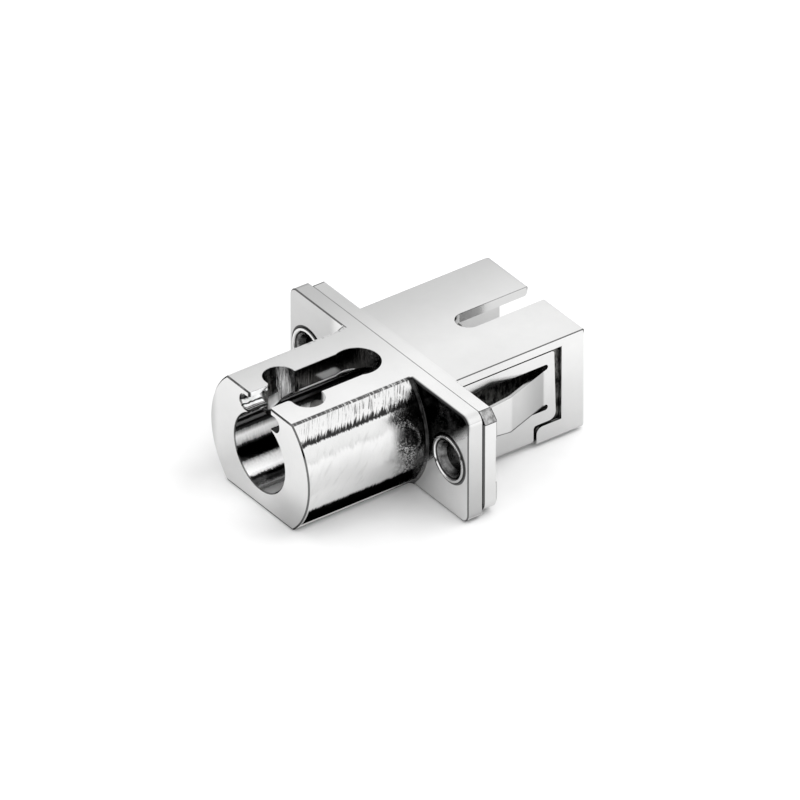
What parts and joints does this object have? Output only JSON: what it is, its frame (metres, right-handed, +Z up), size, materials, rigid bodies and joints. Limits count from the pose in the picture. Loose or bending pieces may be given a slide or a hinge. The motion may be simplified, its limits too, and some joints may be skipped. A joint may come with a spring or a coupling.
{
  "type": "hybrid fibre adapter",
  "caption": "Panel-mount metal adapter joining a round keyed barrel socket to a rectangular plug port, with a flange, hollow rivets and a sprung side clip.",
  "frame": {"origin": "on the fibre axis, in the plane where the rear flange seats on a panel, midway between the two screw holes", "axes": "+Y along the fibre axis towards the rectangular port, +X along the flange, +Z up through the keyway"},
  "size_m": [0.0238, 0.0272, 0.0098],
  "materials": {
    "plated_casting": "bright nickel plate over a die casting",
    "spring_steel": "polished stainless spring sheet",
    "plated_rivet": "bright nickel plate",
    "turned_holder": "nickel-plated turned brass",
    "moulded_insert": "fine moulded texture",
    "ceramic_sleeve": "ground zirconia"
  },
  "bodies": {
    "adapter": {"front_housing": "plated_casting", "rear_housing": "plated_casting", "panel_clip": "spring_steel", "rivet_left": "plated_rivet", "rivet_right": "plated_rivet", "front_sleeve_holder": "turned_holder", "latch_insert": "moulded_insert"},
    "sleeve": {"alignment_sleeve": "ceramic_sleeve"}
  },
  "joints": [
    {"name": "sleeve_float", "type": "slide", "parent": "adapter", "child": "sleeve", "axis": [0, 1, 0], "range_m": [-0.00015, 0.00015]}
  ]
}
